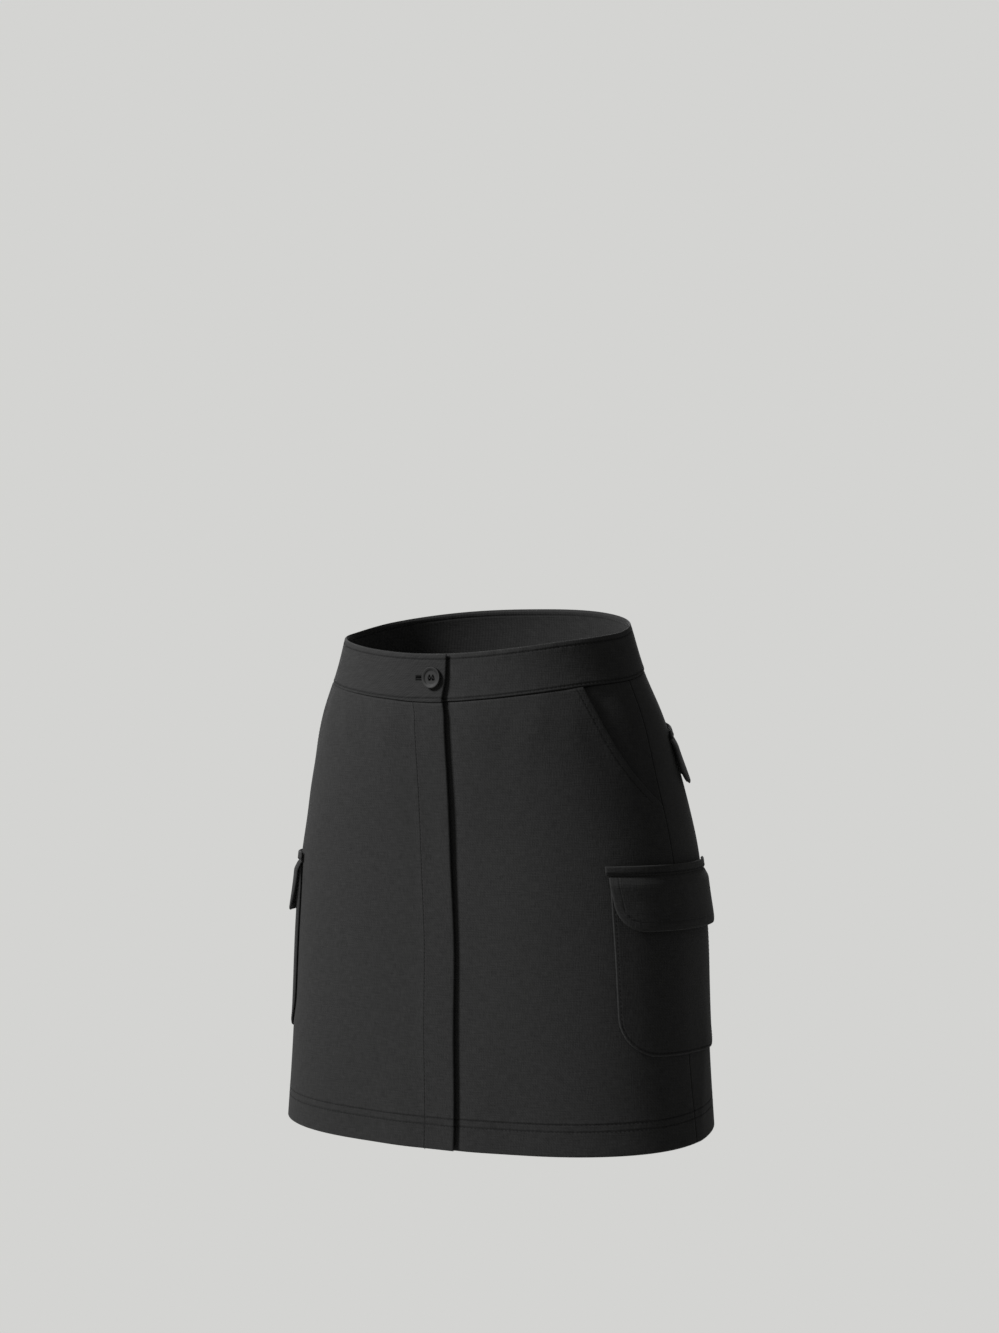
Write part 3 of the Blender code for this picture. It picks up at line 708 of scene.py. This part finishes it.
def rounded(low, corner):
    """Level lower edge with rounded corners."""
    def height(p):
        p.low = low(p)
        near = np.clip(np.minimum(p.arc - p.a, p.b - p.arc), 0.0, corner)
        return p.low + corner - np.sqrt(np.maximum(corner ** 2 - (corner - near) ** 2, 0.0))
    return height


def corner_lines(corner, steps):
    """Grid lines that are close together in rounded corners."""
    near = [corner * (1 - math.cos(a)) for a in np.radians((0, 7, 13, 20, 28, 37, 47, 58, 69, 80, 90))]
    return lines(near, steps, near[::-1])


def outline_run(cut, corner, inset, top, count=60):
    """Run at an even distance inside the side and lower edges, from one top corner to the other."""
    low = cut.at(np.array([cut.start(-250.0) + 60.0]), np.array([-250.0]))
    floor, quarter = float(low.low[0]), np.radians(np.linspace(0, 90, 24))
    z = np.concatenate([np.linspace(top, floor + corner, count),
                        floor + corner - (corner - inset) * np.sin(quarter[1:])])
    x = np.concatenate([np.full(count, inset), corner - (corner - inset) * np.cos(quarter[1:])])
    arc = np.concatenate([cut.start(z) + x, (cut.end(z) - x)[::-1]])
    z = np.concatenate([z, z[::-1]])
    fine = np.linspace(0, 1, 500)
    reach = np.concatenate([[0], np.cumsum(np.hypot(np.diff(arc), np.diff(z)))])
    return np.interp(fine * reach[-1], reach, arc), np.interp(fine * reach[-1], reach, z)


for word, side in (("right", -1), ("left", 1)):
    pocket_outline = inside_outline(CARGO_CORNER)
    pocket = Cut(side, lambda z: hip(side, z) - CARGO_REACH[0], lambda z: hip(side, z) + CARGO_REACH[1],
                 even(CARGO_TOP), rounded(even(CARGO_LOW), CARGO_CORNER),
                 lambda p: LIFT + 1.5 + 0.25 * (1 - soft(pocket_outline(p), 2, 10)),
                 pocket_outline, lambda p: np.abs(pocket_outline(p) - CARGO_ROW))
    piece = cloth("cargo_pocket_" + word, pocket, corner_lines(CARGO_CORNER, 22),
                  lines((0.0,), 36, (6.0, 3.6, 2.4, 1.3, 0.7, 0.3, 0.0)), lambda p: 1.5)
    rows = topstitch("cargo_pocket_" + word + "_stitches", pocket,
                     [outline_run(pocket, CARGO_CORNER, CARGO_ROW, CARGO_TOP - 8.0)])
    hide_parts("cargo_pocket_" + word)

# Flaps: two layers of twill, bagged out, edge-stitched round three sides and sewn down along
# the top under a narrow stitched fold, from which they swell and stand off.
FOLD = 7.2             # height of the stitched fold
FOLD_ROW = 1.4         # its stitches, above its lower edge
FLAP_ROW = 6.4         # its edge stitching, inside its edge
CARGO_FLAP_TOP, CARGO_FLAP_REACH = -180.0, (65.4, 74.4)
BACK_FLAP_REACH = (27.5, 147.5)            # both ends are behind the hip line


def flap(name, side, start, end, top, height, corner, swell, stand):
    """Flap on the form, with its rows of stitches."""
    outline = inside_outline(corner)
    def out(p):
        fall = p.top - p.z
        ditch = 0.9 * np.exp(-((fall - FOLD - 0.5) / 0.9) ** 2)
        return (LIFT + 2.2 + swell * soft(fall, FOLD, 16.0) + stand * soft(fall, 6.0, height) * fall / height
                + 0.45 * (1 - soft(fall, FOLD - 0.6, FOLD + 0.6)) - ditch)
    cut = Cut(side, start, end, top, rounded(lambda p: p.top - height, corner), out,
              lambda p: np.minimum(outline(p), p.top - p.z),
              lambda p: np.minimum(np.where(p.top - p.z > FOLD + 1, np.abs(outline(p) - FLAP_ROW), FAR),
                                   np.abs(p.top - p.z - FOLD + FOLD_ROW)))
    near_fold = (0.0, 0.3, 0.7, 1.3, 3.0, 5.2, 5.8, 6.6, 7.2, 7.8, 8.4, 9.4, 11.0)
    piece = cloth(name, cut, corner_lines(corner, 24), lines(near_fold, 18, (3.0, 1.3, 0.7, 0.3, 0.0)), lambda p: 2.2)
    rows = topstitch(name + "_stitches", cut, [level_run(cut, 1.0, 1.0, lambda p: p.top - FOLD + FOLD_ROW)])
    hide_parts(name)
    return cut


for word, side in (("right", -1), ("left", 1)):
    fall = lambda z: CARGO_FLAP_TOP - z
    taper = lambda z: 2.4 * soft(fall(z), FOLD - 0.6, FOLD + 0.8) + 3.0 * soft(fall(z), 8.0, 36.0)
    flap("cargo_flap_" + word, side, lambda z: hip(side, z) - CARGO_FLAP_REACH[0] + taper(z),
         lambda z: hip(side, z) + CARGO_FLAP_REACH[1] - taper(z), even(CARGO_FLAP_TOP),
         50.0, 22.0, 2.6, 2.6)
    flap("back_flap_" + word, side, lambda z: hip(side, z) + BACK_FLAP_REACH[0],
         lambda z: hip(side, z) + BACK_FLAP_REACH[1], plane(-84.0, 0.15),
         44.0, 16.0, 1.3, 2.2)
bpy.data.objects.remove(stitch)

# Studio: a pale floor that fades out at its rim, one main soft light from the wearer's right,
# a weak one behind and a pale grey surround.
FLOOR = -0.95
bpy.ops.mesh.primitive_circle_add(vertices=128, radius=1.15, fill_type="TRIFAN", location=(0, 0, FLOOR))
floor = bpy.context.object
floor.name = "floor"
bpy.ops.object.transform_apply(location=True)
paint, tree, floor_shader = material("pale_floor_paint", {"Roughness": 0.8})
where = add(tree, "ShaderNodeTexCoord", {}, {}).outputs["Object"]
far = add(tree, "ShaderNodeVectorMath", {"operation": "LENGTH"}, {0: add(
    tree, "ShaderNodeMapping", {}, {"Vector": where, "Location": (0, 0, -FLOOR)}).outputs[0]}).outputs["Value"]
fade = add(tree, "ShaderNodeMapRange", {"interpolation_type": "SMOOTHSTEP"}, {
    "Value": far, "From Min": 0.45, "From Max": 1.12}).outputs[0]
tree.links.new(blend(tree, noise(tree, where, 9.0, 4.0), hex_colour("#dcdcda"), hex_colour("#e2e2e0")),
               floor_shader.inputs["Base Color"])
mixed = add(tree, "ShaderNodeMixShader", {}, {
    0: fade, 1: floor_shader.outputs[0], 2: add(tree, "ShaderNodeBsdfTransparent", {}, {}).outputs[0]})
tree.links.new(mixed.outputs[0], tree.nodes["Material Output"].inputs["Surface"])
floor.data.materials.append(paint)

for name, azimuth, height, distance, size, power in (
        ("key", -42.0, 1.25, 1.8, 0.5, 49.5),
        ("back", 213.0, 1.2, 2.6, 1.6, 40.0)):
    angle = math.radians(azimuth)
    spot = Vector((math.sin(angle) * distance, -math.cos(angle) * distance, height))
    bpy.ops.object.light_add(type="AREA", location=spot)
    light = bpy.context.object
    light.name = name + "_light"
    light.rotation_euler = (Vector((0, 0, -0.2)) - spot).to_track_quat("-Z", "Y").to_euler()
    light.data.shape, light.data.size, light.data.energy = "SQUARE", size, power

world = bpy.data.worlds.new("pale_surround")
world.use_nodes = True
bpy.context.scene.world = world
tree = world.node_tree
seen = add(tree, "ShaderNodeBackground", {}, {"Color": hex_colour("#d4d4d2"), "Strength": 1.0}).outputs[0]
glow = add(tree, "ShaderNodeBackground", {}, {"Color": hex_colour("#d4d4d2"), "Strength": 0.21}).outputs[0]
both = add(tree, "ShaderNodeMixShader", {}, {
    0: add(tree, "ShaderNodeLightPath", {}, {}).outputs["Is Camera Ray"], 1: glow, 2: seen})
tree.links.new(both.outputs[0], tree.nodes["World Output"].inputs["Surface"])
bpy.context.scene.view_settings.view_transform = "Standard"
